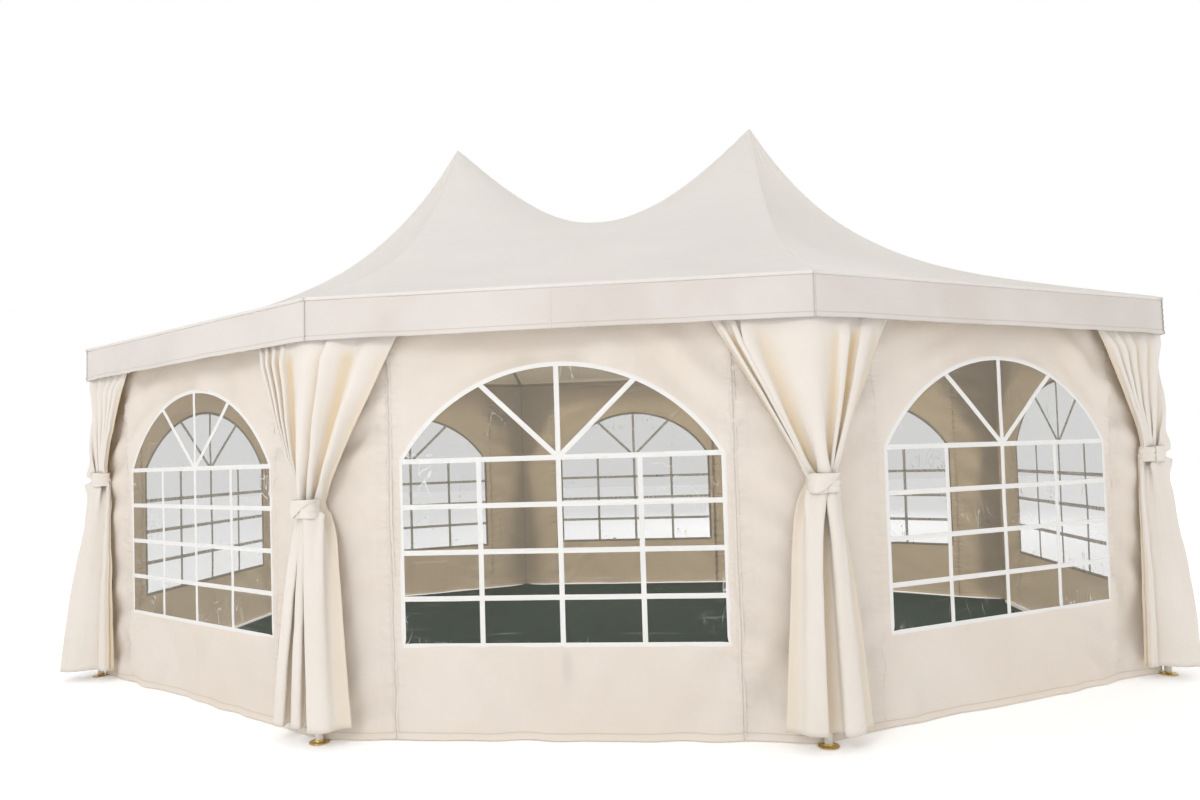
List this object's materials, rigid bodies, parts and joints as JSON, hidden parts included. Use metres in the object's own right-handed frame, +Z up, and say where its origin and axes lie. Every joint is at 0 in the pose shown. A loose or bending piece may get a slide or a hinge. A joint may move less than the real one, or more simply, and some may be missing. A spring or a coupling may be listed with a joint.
{
  "type": "octagonal marquee tent",
  "caption": "Octagonal marquee tent with two peaks, a hanging saddle between them, an eave valance, tied corner curtains and fabric walls with arched film windows",
  "frame": {"origin": "On the ground at the middle of the tent, at the bottom centre of its bounding box", "axes": "+X along the tent's length, from the left peak to the right peak, +Y from the front to the back, +Z up"},
  "size_m": [6.9438, 5.1944, 3.86],
  "materials": {
    "steel": "zinc plated steel tube and disc, yellowish, half shiny",
    "frame_steel": "white powder coated steel tube, half matt",
    "roof_cloth": "coated polyester roof cloth, pale grey-white, matt",
    "valance_cloth": "coated polyester cloth, cream white, matt",
    "wall_cloth": "thin coated polyester wall cloth, cream, slightly see-through",
    "curtain_cloth": "soft cream polyester curtain cloth, matt",
    "window_film": "clear soft PVC film, glossy with shallow ripples",
    "groundsheet_cloth": "dark green floor sheet, smooth and half matt"
  },
  "bodies": {
    "root": {"pole_front_left": "steel", "pole_front_right": "steel", "pole_right_front": "steel", "pole_right_back": "steel", "pole_back_right": "steel", "pole_back_left": "steel", "pole_left_back": "steel", "pole_left_front": "steel", "front_eave_tube": "frame_steel", "front_right_eave_tube": "frame_steel", "right_eave_tube": "frame_steel", "back_right_eave_tube": "frame_steel", "back_eave_tube": "frame_steel", "back_left_eave_tube": "frame_steel", "left_eave_tube": "frame_steel", "front_left_eave_tube": "frame_steel", "roof_frame_left": "frame_steel", "roof_frame_right": "frame_steel", "ridge_tube": "frame_steel", "roof_canopy": "roof_cloth", "valance": "valance_cloth", "front_wall": "wall_cloth", "front_right_wall": "wall_cloth", "right_wall": "wall_cloth", "back_right_wall": "wall_cloth", "back_wall": "wall_cloth", "back_left_wall": "wall_cloth", "left_wall": "wall_cloth", "front_left_wall": "wall_cloth", "front_window": "window_film", "front_right_window": "window_film", "right_window": "window_film", "back_right_window": "window_film", "back_window": "window_film", "back_left_window": "window_film", "left_window": "window_film", "front_left_window": "window_film", "curtain_front_left": "curtain_cloth", "curtain_front_right": "curtain_cloth", "curtain_right_front": "curtain_cloth", "curtain_right_back": "curtain_cloth", "curtain_back_right": "curtain_cloth", "curtain_back_left": "curtain_cloth", "curtain_left_back": "curtain_cloth", "curtain_left_front": "curtain_cloth", "tie_front_left": "curtain_cloth", "tie_front_right": "curtain_cloth", "tie_right_front": "curtain_cloth", "tie_right_back": "curtain_cloth", "tie_back_right": "curtain_cloth", "tie_back_left": "curtain_cloth", "tie_left_back": "curtain_cloth", "tie_left_front": "curtain_cloth", "groundsheet": "groundsheet_cloth"}
  },
  "joints": []
}
